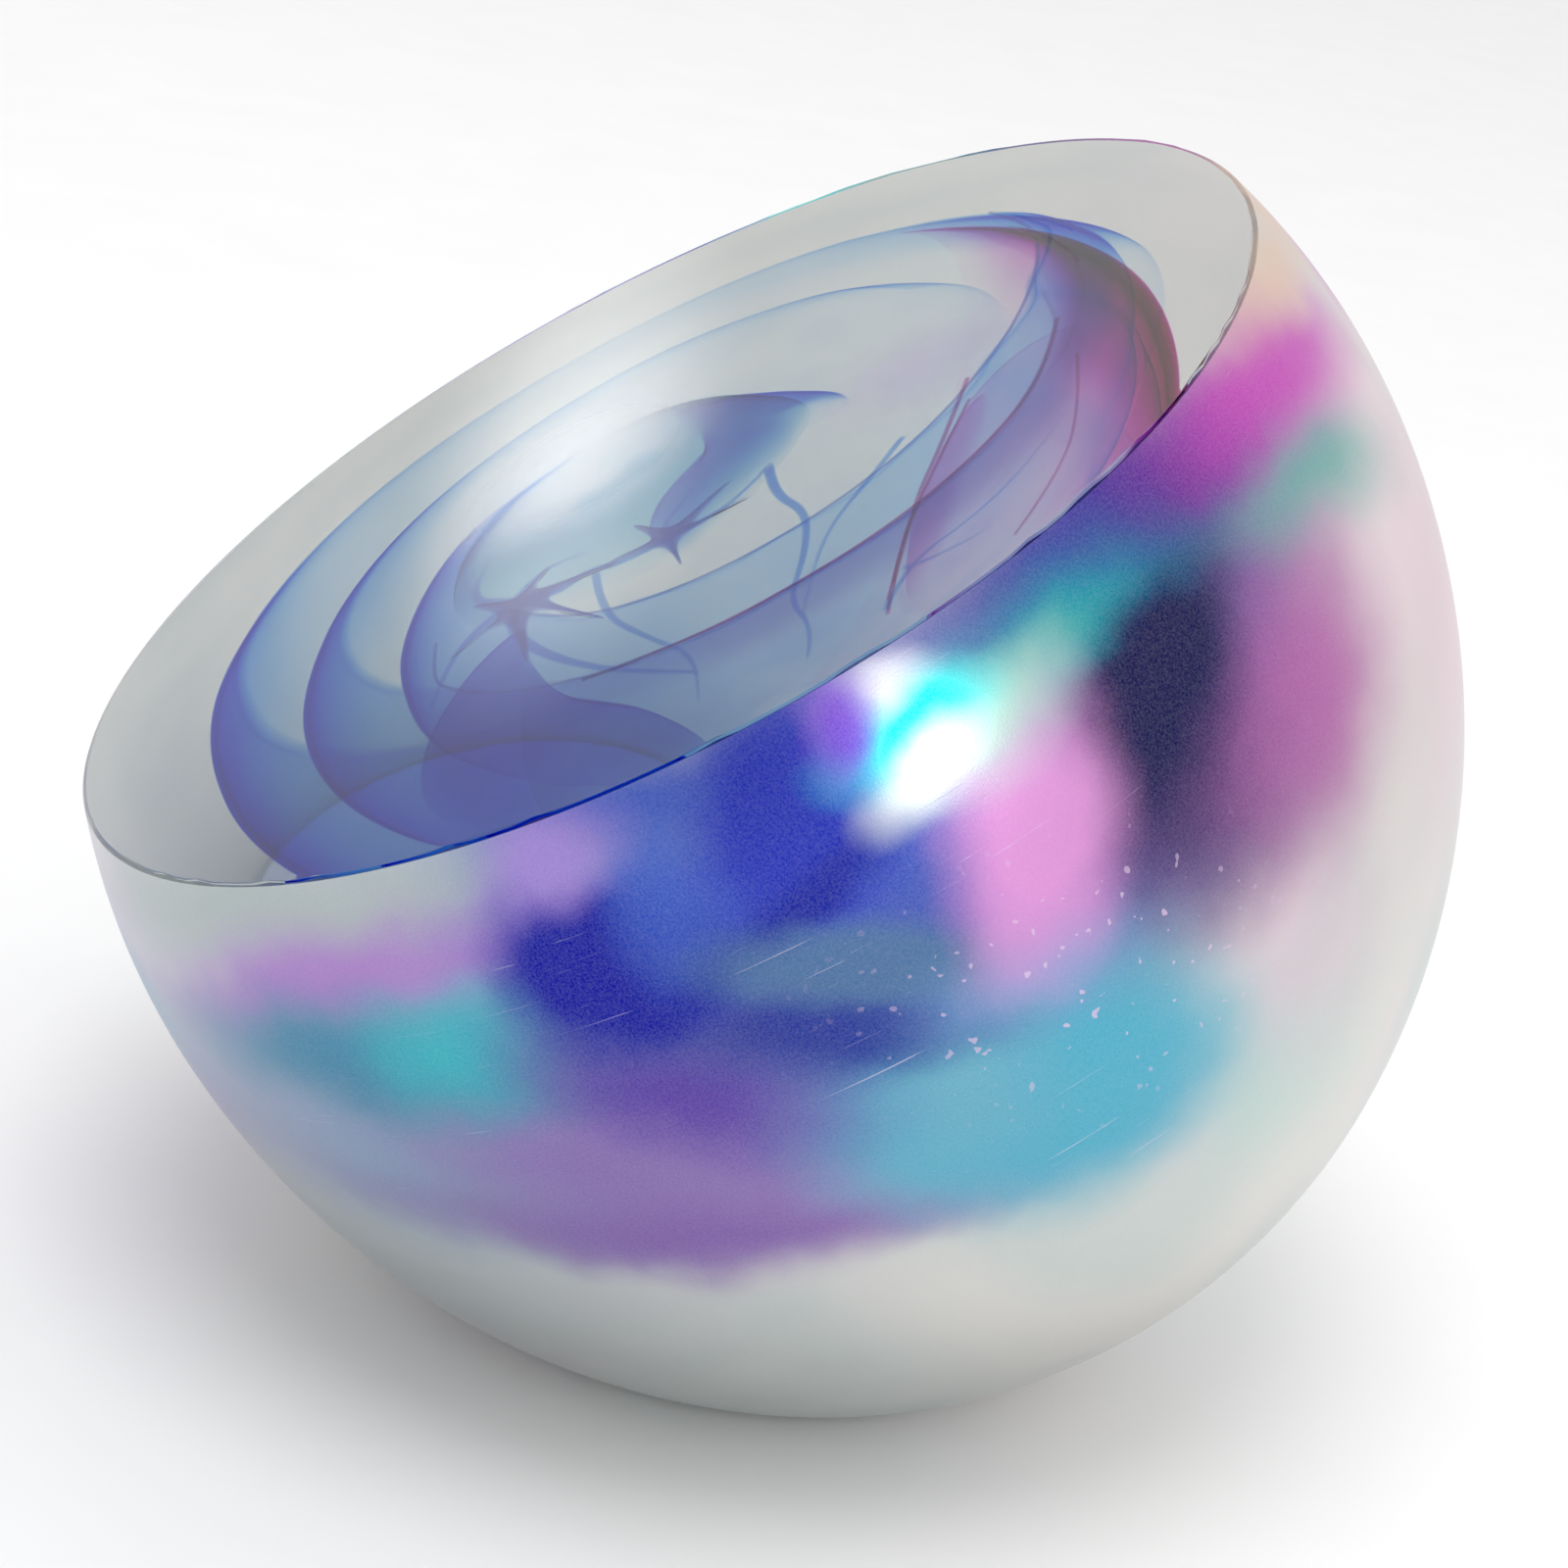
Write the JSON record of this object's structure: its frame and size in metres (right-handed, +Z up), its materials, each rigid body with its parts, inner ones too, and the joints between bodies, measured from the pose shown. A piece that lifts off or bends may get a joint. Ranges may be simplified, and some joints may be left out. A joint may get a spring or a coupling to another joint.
{
  "type": "glass paperweight",
  "caption": "Solid studio glass paperweight, egg shaped with a satin lustre skin, coloured veils inside, a sloping flat facet to look in through and a flat base.",
  "frame": {"origin": "centre of the flat ground base", "axes": "+Z up from the base; the sloping facet faces -Y and up; +X to the right seen from the facet's side"},
  "size_m": [0.076, 0.0764, 0.0695],
  "materials": {
    "lustre_skin": "satin iridescent lustre",
    "clear_glass": "polished",
    "blue_glass": "polished",
    "rose_glass": "polished",
    "violet_glass": "polished",
    "lilac_glass": "polished",
    "plum_glass": "polished",
    "aqua_glass": "polished",
    "navy_glass": "polished"
  },
  "bodies": {
    "root": {"lustre_skin": "lustre_skin", "outer_casing": "clear_glass", "outer_veil_blue": "blue_glass", "outer_veil_rose": "rose_glass", "outer_veil_violet": "violet_glass", "second_gather": "clear_glass", "middle_veil_blue": "blue_glass", "middle_veil_lilac": "lilac_glass", "third_gather": "clear_glass", "inner_veil_blue": "blue_glass", "inner_veil_plum": "plum_glass", "fourth_gather": "clear_glass", "heart_veil_aqua": "aqua_glass", "heart_veil_navy": "navy_glass", "heart_glass": "clear_glass", "blue_threads": "navy_glass", "rose_threads": "rose_glass"}
  },
  "joints": []
}
